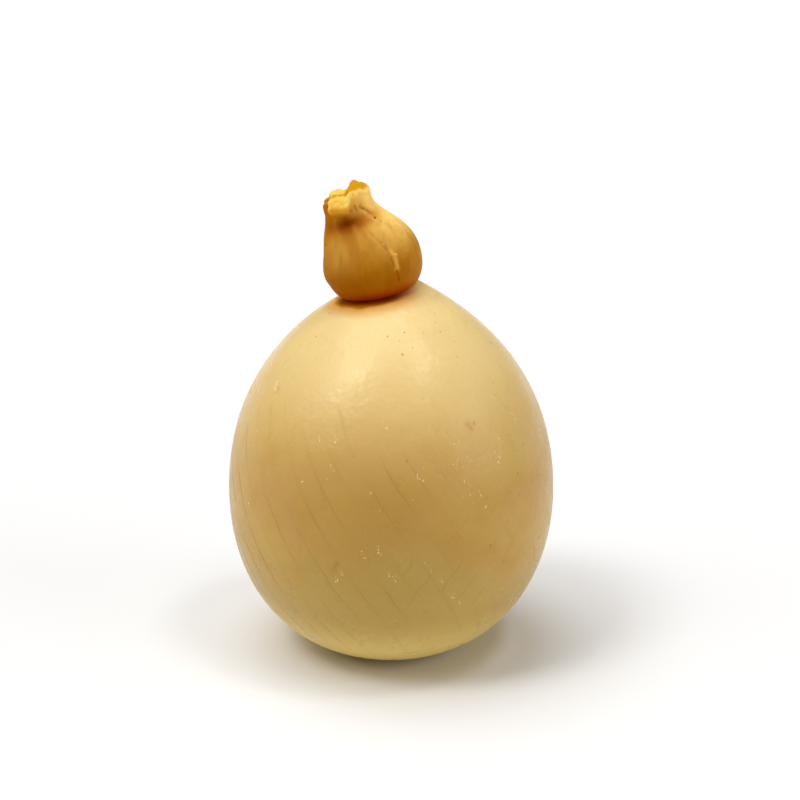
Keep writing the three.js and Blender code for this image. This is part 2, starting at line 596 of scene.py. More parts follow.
    def tints(self, direction: float, radius: float, height: float) -> dict[Tint, float]:
        """Shares out the finish over the head.

        Args:
            direction: Direction of the point's column.
            radius: Radius of its ring.
            height: Height of its ring.

        Returns:
            The share of each tint.
        """
        lobed = self.lobed(radius, height, self.lobe_full)
        inside = 1.0 - ease(radius, self.torn_edge, self.rim.radius) if height > self.waist.height else 0.0
        right = ease(radius * math.cos(math.radians(direction)), self.fill_from, self.fill_full)
        front = self.lip_tint.block(direction)
        back = self.back_rim.bell(direction)
        above = height - self.crease.height
        crease = max(self.crease_shade.block(direction), self.crease_least)
        shade = self.hollow_shade.at(direction, height)
        # Painted shade in the hollow under the lip, the cleft, the slit's inside, the crease and on the left
        # flap.
        dark = max(
            self.hollow_shade_strength * shade,
            self.cleaved(direction, radius, height),
            (1.0 - ease(radius, 0.0, self.slit.radius)) * (1.0 - right),
            crease * (1.0 - ease(above, self.crease_from, self.crease_to)),
            self.flap_shade * self.left_flap.bell(direction) * lobed,
        )
        # Painted light on the head's upper right, upper left, lower right and tall lobe, kept out of the
        # hollow's painted shade.
        light = max(
            self.light.bell(direction) * ease(height, self.painted_light_from, self.painted_light_full),
            self.left_painted_light.at(direction, height),
            self.right_painted_light.at(direction, height),
            self.tall_painted_light.bell(direction) * lobed,
        )
        curd = ease(height, self.lip_tint_from, self.lip_tint_full) * ease(radius, 0.0, self.rim.radius)
        return {
            Tint.AMBER: 1.0,
            Tint.LIGHT: light * (1.0 - shade),
            Tint.LIP: clamp(max(front, self.back_tint * back) * curd) * (1.0 - shade),
            Tint.TORN: inside * max(right, front, self.back_torn * back),
            Tint.STAIN_AND_SHADE: dark,
        }


@dataclass
class NetImprint:
    """The faint imprint of the net that the body hung in, strong in falling lines and weak in rising ones."""

    lines: int = 40
    turn: float = 0.52
    level: float = 140.0
    phase: float = 5.85
    squeeze: float = 0.135
    wobble: Unevenness = Unevenness(0.45, 9.0, 7.0)
    width: float = 0.36
    depth: float = 0.13
    clear: float = 0.55
    patchy: float = 0.9
    patch: float = 17.0
    patch_apart: float = 4.7
    patch_seed: float = 0.5
    worn: float = 0.42
    worn_side: Arc = Arc(-45.0, 40.0)
    upper: float = 0.3
    upper_from: float = 85.0
    top: float = 128.0
    top_fade: float = 14.0
    low: float = 10.0
    low_fade: float = 18.0
    rising_level: float = 84.7
    rising_phase: float = 8.6
    rising_wobble: float = 0.22
    half_cell: float = 0.5
    rising_waves: Grain = Grain(120.0, 1.0, 0.2, 0.8)
    rising_line: Step = Step(0.055, 0.012, 0.6)
    rising_breaks: Grain = Grain(70.0, 2.0, 0.42, 0.6)
    rising_spots: tuple[Patch, ...] = (
        Patch(-68.0, 34.0, 56.0, 20.0),
        Patch(40.0, 34.0, 60.0, 20.0),
        Patch(150.0, 34.0, 75.0, 20.0),
    )

    @property
    def cell(self) -> float:
        """Angle between neighbouring lines of one family."""
        return FULL_TURN / self.lines

    def twist(self, height: float) -> float:
        """Gives how far a column is turned at a height, so that columns follow the falling lines."""
        return self.turn * max(self.level - height, 0.0) + self.phase

    def drawn_in(self, column: float, height: float) -> float:
        """Draws the columns next to a line close to it, where the imprint shows."""
        share = 1.0 - ease(height, self.top, self.level)
        return column - self.cell * self.squeeze * share * math.sin(math.tau * column / self.cell)

    def shown(self, column: float, direction: float, height: float) -> float:
        """Gives how clearly a falling line shows at a place.

        Args:
            column: Column of the place, which tells the line.
            direction: Direction of the place.
            height: Height of the place.

        Returns:
            A share that is patchy along each line, weaker on the worn side, and fades to both ends.
        """
        fade = 1.0 - ease(height, self.top - self.top_fade, self.top)
        fade *= ease(height, self.low, self.low + self.low_fade)
        line = round(column / self.cell) % self.lines
        spot = Vector((line * self.patch_apart, height / self.patch, self.patch_seed))
        clear = self.clear + self.patchy * noise.noise(spot)
        clear -= self.worn * self.worn_side.bell(direction)
        clear -= self.upper * ease(height, self.upper_from, self.top)
        return fade * clamp(clear)

    def line(self, column: float, radius: float, height: float) -> float:
        """Tells a falling line from the rind beside it.

        Args:
            column: Column of the place, already drawn in.
            radius: Radius of its ring.
            height: Height of its ring.

        Returns:
            1 on a line and 0 off it.
        """
        away = math.radians(math.remainder(column, self.cell)) * radius
        lean = math.cos(math.atan(math.radians(self.turn) * radius))
        return bump(away * lean, 0.0, self.width) if height < self.top else 0.0

    def tints(self, column: float, direction: float, radius: float, height: float) -> dict[Tint, float]:
        """Shares out the two families of lines over the body.

        Args:
            column: Column of the place, already drawn in.
            direction: Direction of the place.
            radius: Radius of its ring.
            height: Height of its ring.

        Returns:
            The share of each family.
        """
        rising = sum(spot.at(direction, height) for spot in self.rising_spots)
        return {
            Tint.LINE: self.shown(column, direction, height) * self.line(column, radius, height),
            Tint.CROSS: min(rising, 1.0),
        }


@dataclass(frozen=True)
class RindMarks:
    """The pinholes, pits, nicks and folds of the rind."""

    tuft_pits: tuple[Mark, ...] = (
        Mark(((41.6, 194.6), (43.2, 193.2)), 0.75, 0.5, 0.36),
        Mark(((37.0, 196.2), (38.4, 195.2)), 0.6, 0.5, 0.33),
        Mark(((31.0, 197.4), (34.0, 196.2)), 0.7, 0.55, 0.4),
        Mark(((16.5, 198.6), (18.5, 196.6)), 0.6, 0.5, 0.36),
        Mark(((4.0, 198.2), (5.5, 197.2)), 0.7, 0.5, 0.33),
        Mark(((44.9, 190.9),), 0.5, 0.9, 1.0),
        Mark(((47.9, 188.7),), 0.35, 0.3, 0.6),
    )
    # The scar's dark crease is partly painted shade, and the pale raised folds and flap beside it are partly
    # painted highlight.
    head_folds: tuple[Mark, ...] = (
        Mark(((18.0, 187.5), (23.0, 183.0), (26.0, 179.0)), 0.8, 0.35, 0.08),
        Mark(((26.0, 179.0), (26.2, 174.5), (28.8, 168.0)), 0.5, 0.45, 0.3),
        Mark(((34.0, 194.0), (38.5, 191.0), (41.0, 188.8)), 1.1, -0.45, pale=0.25),
        Mark(((38.0, 187.0), (34.0, 183.5), (30.5, 180.0)), 1.0, -0.3, pale=0.12),
        Mark(((29.0, 178.6), (30.4, 176.2), (29.0, 172.6)), 1.1, -0.55, pale=0.5),
        Mark(((30.5, 177.0), (33.6, 176.6)), 0.75, -0.4, pale=0.5),
        Mark(((-36.1, 191.4), (-31.6, 189.8), (-30.1, 187.0), (-30.1, 183.5)), 1.4, -0.4, pale=0.08),
        Mark(((-1.6, 191.4), (-0.1, 189.3), (-0.1, 187.0), (-1.6, 183.5)), 1.3, -0.45, pale=0.1),
        Mark(((-18.0, 190.5), (-19.0, 186.0)), 1.4, 0.4, 0.14),
        Mark(((12.0, 191.5), (10.0, 186.5)), 1.1, 0.4, 0.18),
        Mark(((-4.0, 180.0), (-9.0, 171.0)), 0.8, 0.06, 0.12),
        Mark(((-69.2, 187.6),), 0.45, 0.3, 0.6),
        Mark(((59.9, 181.1),), 0.35, 0.2, 0.4),
    )
    body_nicks: tuple[Mark, ...] = (
        Mark(((-60.6, 136.6), (-60.2, 133.0)), 0.5, -0.1, pale=0.18),
        Mark(((-56.0, 149.0), (-54.6, 146.8)), 0.5, -0.12, pale=0.2),
        Mark(((-54.0, 145.5),), 0.45, 0.25, 0.45),
        Mark(((-59.7, 127.6), (-58.8, 125.4), (-57.4, 124.6)), 0.65, -0.35, pale=0.45),
        Mark(((-56.4, 125.8), (-55.4, 123.6)), 0.45, 0.3, 0.35),
        Mark(((-55.9, 122.6), (-56.4, 120.4)), 0.5, -0.1, pale=0.2),
        Mark(((30.0, 117.1), (31.6, 115.0)), 1.1, 0.15, 0.3),
        Mark(((33.4, 116.7),), 0.8, 0.15, 0.3),
        Mark(((31.0, 116.2),), 2.8, 0.0, 0.16),
        Mark(((-18.9, 60.4), (-18.1, 62.8)), 0.9, 0.12, 0.3),
        Mark(((-19.4, 59.0),), 2.2, 0.0, 0.16),
        Mark(((37.0, 160.6), (38.6, 159.8)), 0.5, -0.25, pale=0.25),
        Mark(((-42.0, 156.0),), 0.5, -0.25, pale=0.4),
    )
    faint_pinholes: tuple[Place, ...] = (
        (5.6, 147.0), (42.1, 144.9), (13.0, 144.8), (76.1, 135.6), (43.5, 154.5), (37.1, 151.9),
        (61.3, 152.7), (23.3, 149.3), (54.5, 118.5), (76.2, 59.9), (49.9, 47.1), (5.5, 105.4),
        (-17.6, 62.8), (-16.2, 58.4), (-5.2, 67.5), (2.6, 62.6), (6.3, 57.4), (12.4, 63.8),
        (118.0, 96.0), (141.0, 72.0), (197.0, 128.0), (226.0, 84.0), (254.0, 110.0), (171.0, 146.0),
    )
    pinholes: tuple[Place, ...] = (
        (-2.1, 148.6), (9.7, 149.8), (36.4, 148.9), (6.6, 142.7), (38.1, 140.1), (48.6, 93.4), (61.1, 88.7),
        (48.1, 84.7), (43.5, 87.1), (34.6, 67.1), (53.1, 61.9),
    )
    faint_share: float = 0.5
    pinhole_width: float = 0.3
    pinhole_depth: float = 0.3
    pinhole_dark: float = 0.8

    def gathered(self) -> list[tuple[Zone, Mark]]:
        """Gathers every mark, the pinholes last.

        Returns:
            Each mark with the part of the cheese that it lies on.
        """
        marks = [(Zone.HEAD, mark) for mark in (*self.tuft_pits, *self.head_folds)]
        marks += [(Zone.BODY, mark) for mark in self.body_nicks]
        for places, share in ((self.faint_pinholes, self.faint_share), (self.pinholes, 1.0)):
            depth = share * self.pinhole_depth
            stain_and_shade = share * self.pinhole_dark
            marks += [(Zone.BODY, Mark((place,), self.pinhole_width, depth, stain_and_shade)) for place in places]
        return marks


class Bench:
    """A finish being laid out: makes its material, adds nodes, sets their sockets and joins them."""

    MIX_LOW = 6
    MIX_HIGH = 7
    MIX_RESULT = 2

    def __init__(self, name: str) -> None:
        """Makes a material with an empty tree, read in the piece's own coordinates.

        Args:
            name: Name of the material.
        """
        self.material = bpy.data.materials.new(name)
        self.material.use_nodes = True
        self.tree = self.material.node_tree
        self.tree.nodes.clear()
        self.where = self.add("ShaderNodeTexCoord").outputs["Object"]

    def add(self, kind: str, **settings: str) -> Node:
        """Adds a node.

        Args:
            kind: Kind of node.
            settings: Its properties by name.

        Returns:
            The node.
        """
        node = self.tree.nodes.new(kind)
        for name, value in settings.items():
            setattr(node, name, value)
        return node

    def feed(self, target: NodeSocket, source: NodeSocket | float | tuple[float, ...]) -> None:
        """Feeds a socket.

        Args:
            target: The socket.
            source: Another node's socket to join it to, or its constant.
        """
        if isinstance(source, NodeSocket):
            self.tree.links.new(source, target)
        else:
            target.default_value = source

    def math(self, operation: str, *sources: NodeSocket | float) -> NodeSocket:
        """Adds a math node.

        Args:
            operation: What it does.
            sources: What it works on, in order.

        Returns:
            Its result.
        """
        node = self.add("ShaderNodeMath", operation=operation)
        for target, source in zip(node.inputs, sources):
            self.feed(target, source)
        return node.outputs[0]

    def mix(self, share: NodeSocket, low: NodeSocket | Colour, high: NodeSocket | Colour) -> NodeSocket:
        """Adds a mix of two colours.

        Args:
            share: How much of the second colour there is.
            low: The first colour.
            high: The second colour.

        Returns:
            The mixed colour.
        """
        node = self.add("ShaderNodeMix", data_type="RGBA")
        self.feed(node.inputs["Factor"], share)
        self.feed(node.inputs[self.MIX_LOW], low)
        self.feed(node.inputs[self.MIX_HIGH], high)
        return node.outputs[self.MIX_RESULT]

    def tint(self, tint: Tint, strength: float = 1.0) -> NodeSocket:
        """Reads one of the mesh's tints at a strength."""
        share = self.add("ShaderNodeAttribute", attribute_name=tint.value).outputs["Fac"]
        return self.math("MULTIPLY", share, strength)

    def axes(self) -> Node:
        """Splits the piece's own coordinates into their axes.

        Returns:
            The node that has an output for each axis.
        """
        split = self.add("ShaderNodeSeparateXYZ")
        self.feed(split.inputs[0], self.where)
        return split

    def span(self, value: NodeSocket, step: Step) -> NodeSocket:
        """Adds a smooth step.

        Args:
            value: What the step goes by.
            step: Where it lies and how strong it is.

        Returns:
            The share at each place.
        """
        ramp = self.add("ShaderNodeMapRange", interpolation_type="SMOOTHSTEP")
        self.feed(ramp.inputs["Value"], value)
        self.feed(ramp.inputs["From Min"], step.low)
        self.feed(ramp.inputs["From Max"], step.high)
        return self.math("MULTIPLY", ramp.outputs["Result"], step.strength)

    def grain(self, grain: Grain) -> NodeSocket:
        """Adds cloudy grain.

        Args:
            grain: How coarse, long and strong it is.

        Returns:
            The share at each place.
        """
        lay = self.add("ShaderNodeMapping")
        self.feed(lay.inputs["Vector"], self.where)
        self.feed(lay.inputs["Scale"], (1.0, 1.0, 1.0 / grain.upright))
        speck = self.add("ShaderNodeTexNoise")
        self.feed(speck.inputs["Vector"], lay.outputs["Vector"])
        self.feed(speck.inputs["Scale"], grain.scale)
        self.feed(speck.inputs["Detail"], grain.detail)
        return self.span(speck.outputs["Fac"], Step(grain.low, grain.high, grain.strength))

    def cover(self, kind: str, sockets: dict[str, NodeSocket | float | tuple[float, ...]]) -> Material:
        """Adds the shader that ends the layout.

        Args:
            kind: Kind of shader.
            sockets: What feeds each of its sockets, by name.

        Returns:
            The finished material.
        """
        shader = self.add(kind)
        for name, source in sockets.items():
            self.feed(shader.inputs[name], source)
        out = self.add("ShaderNodeOutputMaterial")
        self.feed(out.inputs["Surface"], shader.outputs["BSDF"])
        return self.material


@dataclass(frozen=True)
class RindFinish:
    """Waxy, half-gloss rind: straw on the body, amber on the head, with the net's faint lines."""

    name: str
    shine: float
    gloss: float

    # Straw of the body, paler to the top partly by painted light, with painted light at the foot and painted
    # shade on the front
    straw: Colour = (0.56, 0.345, 0.072, 1.0)
    straw_deep: Colour = (0.51, 0.285, 0.046, 1.0)
    straw_front_shade: Colour = (0.43, 0.235, 0.037, 1.0)
    straw_green: Colour = (0.48, 0.325, 0.072, 1.0)
    straw_rosy: Colour = (0.60, 0.36, 0.12, 1.0)
    straw_pale_and_lit: Colour = (0.81, 0.60, 0.255, 1.0)
    straw_top_lit: Colour = (0.88, 0.66, 0.285, 1.0)
    straw_foot_lit: Colour = (0.90, 0.68, 0.22, 1.0)
    line: Colour = (0.25, 0.115, 0.018, 1.0)
    clouds: Grain = Grain(38.0, 3.0, 0.35, 0.68)
    rosy_clouds: Grain = Grain(40.0, 1.0, 0.42, 0.68, 0.35)
    pale_and_lit_rise: Step = Step(0.084, 0.150, 0.97)
    top_lit_rise: Step = Step(0.147, 0.157)
    green_clouds: Grain = Grain(22.0, 3.0, 0.3, 0.7)
    green_ragged: float = -0.03
    green_fall: Step = Step(0.062, 0.022, 0.75)
    foot_lit_fall: Step = Step(0.036, 0.002)
    line_share: float = 0.36

    # Amber of the head, with painted shade low on the bulb and painted light on its lit side, a warm crumb
    # and shade colour, and the head's painted reflection around the crease
    amber: Colour = (0.44, 0.155, 0.002, 1.0)
    amber_tan: Colour = (0.51, 0.215, 0.006, 1.0)
    amber_crumb_and_shade: Colour = (0.58, 0.21, 0.003, 1.0)
    amber_low_shade: Colour = (0.36, 0.11, 0.0006, 1.0)
    amber_lit: Colour = (1.0, 0.65, 0.17, 1.0)
    streak: Colour = (0.25, 0.078, 0.003, 1.0)
    painted_reflection: Colour = (0.81, 0.34, 0.025, 1.0)
    head_clouds: Grain = Grain(90.0, 3.0, 0.35, 0.68)
    head_ragged: float = 0.004
    blotches: Grain = Grain(210.0, 3.0, 0.3, 0.7, upright=2.0)
    bulb_shade_rise: Step = Step(0.165, 0.187)
    crease_fall: Step = Step(0.1615, 0.1590)
    streaks: Grain = Grain(260.0, 2.0, 0.42, 0.8, 0.3, 6.0)
    head_edge: Step = Step(0.72, 0.95)

    # Torn curd of the tuft with painted shade on its lower edge, stains with painted shade, and pale marks
    lip: Colour = (1.0, 0.67, 0.15, 1.0)
    lip_deep: Colour = (0.98, 0.56, 0.08, 1.0)
    lip_shade: Colour = (0.80, 0.36, 0.02, 1.0)
    torn: Colour = (0.60, 0.28, 0.006, 1.0)
    stain_and_shade: Colour = (0.30, 0.016, 0.0003, 1.0)
    pale: Colour = (0.86, 0.62, 0.25, 1.0)
    curds: Grain = Grain(320.0, 3.0, 0.42, 0.72)
    lip_edge: Step = Step(0.0, 0.5)
    lip_full: Step = Step(0.4, 1.0)
    crumbs: Grain = Grain(480.0, 2.0, 0.56, 0.72)
    lip_crumbs: float = 0.4
    torn_crumbs: float = 0.7
    warm_shade_edge: Step = Step(0.0, 0.5)
    stain_and_shade_share: float = 0.9

    # Fine relief, gloss and the light that sinks in
    wax: Grain = Grain(130.0, 2.0, 0.3, 0.7)
    wax_height: float = 0.6
    pores: Grain = Grain(420.0, 2.0, 0.3, 0.7)
    pore_height: float = 0.25
    line_height: float = 0.6
    grain_height: float = 0.00022
    gloss_grain: float = 0.08
    sheen: Colour = (1.0, 0.93, 0.76, 1.0)
    scatter: float = 0.25
    scatter_depth: float = 0.004
    scatter_spread: tuple[float, float, float] = (1.0, 0.55, 0.18)

    def rising_lines(self, bench: Bench, net: NetImprint) -> NodeSocket:
        """Draws the net's rising lines around the body.

        Args:
            bench: The layout.
            net: The imprint's sizes.

        Returns:
            1 on a line and 0 off it, where the mesh says that they show.
        """
        split = bench.axes()
        turn = bench.math("ARCTAN2", split.outputs["Y"], split.outputs["X"])
        waves = bench.grain(net.rising_waves)
        wobble = bench.math("MULTIPLY_ADD", waves, net.rising_wobble, -net.rising_wobble / 2.0)
        cells = bench.math("MULTIPLY_ADD", turn, net.lines / math.tau, wobble)
        shift = (net.turn * net.rising_level - net.rising_phase) / net.cell
        slant = bench.math("MULTIPLY_ADD", split.outputs["Z"], -net.turn / (MM * net.cell), shift)
        away = bench.math("PINGPONG", bench.math("ADD", cells, slant), net.half_cell)
        line = bench.math("MULTIPLY", bench.span(away, net.rising_line), bench.tint(Tint.CROSS))
        return bench.math("MULTIPLY", line, bench.grain(net.rising_breaks))

    def body_colour(self, bench: Bench, lines: NodeSocket) -> NodeSocket:
        """Colours the body: cloudy straw, paler to the top partly by painted light, painted light at the
        foot, painted shade on the front, darker net lines.

        Args:
            bench: The layout.
            lines: 1 on the net's lines.

        Returns:
            The colour.
        """
        height = bench.axes().outputs["Z"]
        body = bench.mix(bench.grain(self.clouds), self.straw, self.straw_deep)
        body = bench.mix(bench.grain(self.rosy_clouds), body, self.straw_rosy)
        # Painted shade on the belly's front.
        body = bench.mix(bench.tint(Tint.FRONT_SHADE), body, self.straw_front_shade)
        # Paler to the top, partly painted light from above, and painted light on the top of the shoulder.
        body = bench.mix(bench.span(height, self.pale_and_lit_rise), body, self.straw_pale_and_lit)
        body = bench.mix(bench.span(height, self.top_lit_rise), body, self.straw_top_lit)
        low = bench.math("MULTIPLY_ADD", bench.grain(self.green_clouds), self.green_ragged, height)
        body = bench.mix(bench.span(low, self.green_fall), body, self.straw_green)
        # Painted light from the floor at the foot.
        body = bench.mix(bench.span(height, self.foot_lit_fall), body, self.straw_foot_lit)
        return bench.mix(bench.math("MULTIPLY", lines, self.line_share), body, self.line)

    def head_colour(self, bench: Bench) -> NodeSocket:
        """Colours the head: amber with painted shade low on the bulb, painted light on the upper right, and
        upright streaks.

        Args:
            bench: The layout.

        Returns:
            The colour.
        """
        height = bench.axes().outputs["Z"]
        cloudy = bench.math("MULTIPLY_ADD", bench.grain(self.head_clouds), self.head_ragged, height)
        blotchy = bench.mix(bench.grain(self.blotches), self.amber, self.amber_tan)
        # Painted shade low on the bulb, with a ragged edge, going back to plain amber below the crease.
        head = bench.mix(bench.span(cloudy, self.bulb_shade_rise), self.amber_low_shade, blotchy)
        head = bench.mix(bench.span(height, self.crease_fall), head, blotchy)
        # Painted light on the head's lit side.
        head = bench.mix(bench.tint(Tint.LIGHT), head, self.amber_lit)
        return bench.mix(bench.grain(self.streaks), head, self.streak)

    def tuft_colour(self, bench: Bench, skin: NodeSocket) -> NodeSocket:
        """Colours the torn curd of the tuft over the skin.

        Args:
            bench: The layout.
            skin: The colour of body and head.

        Returns:
            The colour with the curd.
        """
        curd = bench.mix(bench.grain(self.curds), self.lip, self.lip_deep)
        lip = bench.tint(Tint.LIP)
        shaded = bench.math("SUBTRACT", 1.0, bench.tint(Tint.LIGHT))
        shaded = bench.math("MULTIPLY", bench.span(lip, self.lip_edge), shaded)
        skin = bench.mix(shaded, skin, self.lip_shade)
        skin = bench.mix(bench.span(lip, self.lip_full), skin, curd)
        skin = bench.mix(bench.tint(Tint.TORN), skin, self.torn)
        # Crumbs of the torn curd, in the warm colour that also serves as painted shade.
        crumbly = bench.tint(Tint.LIP, self.lip_crumbs)
        rough = bench.math("MAXIMUM", crumbly, bench.tint(Tint.TORN, self.torn_crumbs))
        rough = bench.math("MULTIPLY", rough, bench.grain(self.crumbs))
        return bench.mix(rough, skin, self.amber_crumb_and_shade)

    def marked(self, bench: Bench, skin: NodeSocket) -> NodeSocket:
        """Colours the stains with the painted shade, and the pale marks, with a warm painted shade at their
        edge on fair skin.

        Args:
            bench: The layout.
            skin: The colour of the whole skin.

        Returns:
            The colour with the marks.
        """
        # Warm painted shade where stains and painted shade fade out on fair skin.
        fair = bench.math("MAXIMUM", bench.tint(Tint.LIGHT), bench.tint(Tint.LIP))
        warm = bench.math("MULTIPLY", bench.span(bench.tint(Tint.STAIN_AND_SHADE), self.warm_shade_edge), fair)
        skin = bench.mix(warm, skin, self.amber_crumb_and_shade)
        # Stains, with painted shade in the crease and the tuft's recesses.
        skin = bench.mix(bench.tint(Tint.STAIN_AND_SHADE, self.stain_and_shade_share), skin, self.stain_and_shade)
        return bench.mix(bench.tint(Tint.PALE), skin, self.pale)

    def make(self, net: NetImprint) -> Material:
        """Lays out the rind.

        Args:
            net: The imprint whose lines the rind shows.

        Returns:
            The finished material.
        """
        bench = Bench(self.name)
        lines = bench.math("MAXIMUM", bench.tint(Tint.LINE), self.rising_lines(bench, net))
        amber = bench.tint(Tint.AMBER)
        # The body takes a painted amber reflection of the head around the crease.
        body = bench.mix(amber, self.body_colour(bench, lines), self.painted_reflection)
        skin = bench.mix(bench.span(amber, self.head_edge), body, self.head_colour(bench))
        skin = self.marked(bench, self.tuft_colour(bench, skin))

        wax = bench.grain(self.wax)
        pores = bench.math("MULTIPLY", bench.grain(self.pores), self.pore_height)
        heights = bench.math("MULTIPLY_ADD", wax, self.wax_height, pores)
        heights = bench.math("SUBTRACT", heights, bench.math("MULTIPLY", lines, self.line_height))
        relief = bench.add("ShaderNodeBump")
        bench.feed(relief.inputs["Distance"], self.grain_height)
        bench.feed(relief.inputs["Height"], heights)
        sockets = {
            "Base Color": skin,
            "Roughness": bench.math("MULTIPLY_ADD", wax, self.gloss_grain, self.gloss),
            "Normal": relief.outputs["Normal"],
            "Specular IOR Level": self.shine,
            "Specular Tint": self.sheen,
            "Subsurface Weight": self.scatter,
            "Subsurface Scale": self.scatter_depth,
            "Subsurface Radius": self.scatter_spread,
        }
        return bench.cover("ShaderNodeBsdfPrincipled", sockets)


@dataclass(frozen=True)
class FleckFinish:
    """Dry, creamy flecks, some yellower than others."""

    cream: Colour = (0.86, 0.65, 0.29, 1.0)
    yellow: Colour = (0.66, 0.45, 0.14, 1.0)
    clouds: Grain = Grain(300.0, 1.0, 0.35, 0.65)
    rough: float = 0.55

    def make(self) -> Material:
        """Lays out the flecks' finish.

        Returns:
            The finished material.
        """
        bench = Bench("fleck")
        colour = bench.mix(bench.grain(self.clouds), self.cream, self.yellow)
        return bench.cover("ShaderNodeBsdfPrincipled", {"Base Color": colour, "Roughness": self.rough})


@dataclass(frozen=True)
class FloorFinish:
    """Pale, dull floor."""

    pale: Colour = (0.84, 0.84, 0.84, 1.0)

    def make(self) -> Material:
        """Lays out the floor's finish."""
        return Bench("pale_floor").cover("ShaderNodeBsdfDiffuse", {"Color": self.pale})


def added(name: str, shape: BMesh) -> Object:
    """Turns a finished shape in millimetres into an object of the scene.

    Args:
        name: Name of the object and its mesh.
        shape: The shape, which is freed.

    Returns:
        The object, in metres.
    """
    bmesh.ops.scale(shape, vec=(MM, MM, MM), verts=shape.verts)
    mesh = bpy.data.meshes.new(name)
    shape.to_mesh(mesh)
    shape.free()
    mesh.shade_smooth()
    piece = bpy.data.objects.new(name, mesh)
    bpy.context.scene.collection.objects.link(piece)
    return piece


@dataclass
class Cheese:
    """The whole cheese in one closed skin."""

    body: EggBody = field(default_factory=EggBody)
    head: LeaningHead = field(default_factory=LeaningHead)
    net: NetImprint = field(default_factory=NetImprint)
    marks: RindMarks = field(default_factory=RindMarks)
    body_finish: RindFinish = RindFinish("rind", 0.36, 0.27)
    head_finish: RindFinish = RindFinish("head_rind", 0.01, 0.45, pale=(0.95, 0.55, 0.10, 1.0))
    columns: int = 240
    lift: float = 200.0
    far: float = 150.0
    crease_ring: float = 23.0
    # Painted shade along the crease on the shoulder, and a painted amber reflection of the head around it.
    crease_inset: float = 3.6
    crease_reach: float = 1.5
    crease_shade: Arc = Arc(-100.0, 68.0)
    crease_reflection: Arc = Arc(-115.0, 78.0)
    crease_least: float = 0.1
    reflection_from: float = 18.5
    reflection_to: float = 25.0
    reflection_ragged: Unevenness = Unevenness(0.7, 7.0, 5.0)
    crumble: Unevenness = Unevenness(0.45, 1.7)
    mark_ragged: Unevenness = Unevenness(0.5, 1.1)
    mark_wide: float = 1.2
    mark_cuts: int = 2
    fine_cuts: int = 1
    surface: BVHTree = field(init=False)

    def turned(self) -> BMesh:
        """Turns the half profile of body and head into one closed skin.

        Returns:
            The skin, with the head still lifted off.
        """
        profile = self.body.half_profile() + self.head.half_profile(self.lift)
        skin = bmesh.new()
        verts = [skin.verts.new(point) for point in profile]
        edges = [skin.edges.new(pair) for pair in pairwise(verts)]
        bmesh.ops.spin(
            skin,
            geom=verts + edges,
            cent=(0.0, 0.0, 0.0),
            axis=(0.0, 0.0, 1.0),
            angle=math.tau,
            steps=self.columns,
            use_merge=True,
        )
        bmesh.ops.remove_doubles(skin, verts=skin.verts, dist=WELD)
        bmesh.ops.recalc_face_normals(skin, faces=skin.faces)
        for face in skin.faces:
            middle = face.calc_center_median()
            creased = middle.z > self.body.side.height and middle.xy.length < self.crease_ring
            face.material_index = int(creased or middle.z > self.lift)
        return skin

    def crease_tints(self, apart: Vector, direction: float) -> dict[Tint, float]:
        """Shares out the crease's painted shade and the painted amber reflection of the head around it on the
        shoulder.

        Args:
            apart: The place, as seen from the neck's seat.
            direction: Direction of the place's column.

        Returns:
            The share of each tint.
        """
        away = apart.xy.length
        around = math.degrees(math.atan2(apart.y, apart.x))
        edge = self.head.bulb.radius - self.crease_inset
        dark = max(self.crease_shade.block(around), self.crease_least)
        painted_reflection = max(self.crease_reflection.block(around), self.crease_least)
        fade = self.reflection_to - away - self.reflection_ragged.around(direction, self.reflection_to, 0.0)
        return {
            Tint.STAIN_AND_SHADE: dark * (1.0 - ease(away, edge, edge + self.crease_reach)),
            Tint.AMBER: painted_reflection * clamp(fade / (self.reflection_to - self.reflection_from)),
        }

    def set_down(self, skin: BMesh) -> None:
        """Moves every turned vertex to its place and writes the tints.

        Args:
            skin: The turned skin.
        """
        layers = {tint: skin.verts.layers.float.new(tint.value) for tint in Tint}
        seat = self.head.seat()
        for vert in skin.verts:
            radius = math.hypot(vert.co.x, vert.co.y)
            column = math.degrees(math.atan2(vert.co.y, vert.co.x))
            if vert.co.z >= self.lift:
                height = vert.co.z - self.lift
                direction = column + self.net.phase
                vert.co = self.head.place(direction, radius, height, self.body)
                tints = self.head.tints(direction, radius, height)
            else:
                height = vert.co.z
                column = self.net.drawn_in(column, height)
                direction = column + self.net.twist(height)
                sway = self.net.wobble.around(direction, radius, height)
                vert.co = self.body.place(direction + sway, radius, height, seat)
                tints = self.net.tints(column, direction, radius, height)
                tints |= self.crease_tints(vert.co - seat, direction)
                # Painted shade on the belly's front.
                tints[Tint.FRONT_SHADE] = self.body.belly_front_shade.at(direction, height)
            for tint, share in tints.items():
                vert[layers[tint]] = share

    def on_surface(self, zone: Zone, azimuth: float, height: float, tree: BVHTree) -> tuple[Vector, Vector]:
        """Finds the place and the normal under a mark.

        Args:
            zone: Which part the mark is on.
            azimuth: Azimuth of the mark.
            height: Height of the mark, along the centre line on the head.
            tree: The surface.

        Returns:
            The place and the surface's normal there.
        """
        direction = azimuth + FRONT
        if zone is Zone.HEAD:
            middle = self.head.spine(height)
            out = self.head.outward(direction, height)
        else:
            turn = math.radians(direction)
            middle = Vector((0.0, 0.0, height))
            out = Vector((math.cos(turn), math.sin(turn), 0.0))
        place, normal, _, _ = tree.ray_cast(middle + out * self.far, -out)
        return place, normal

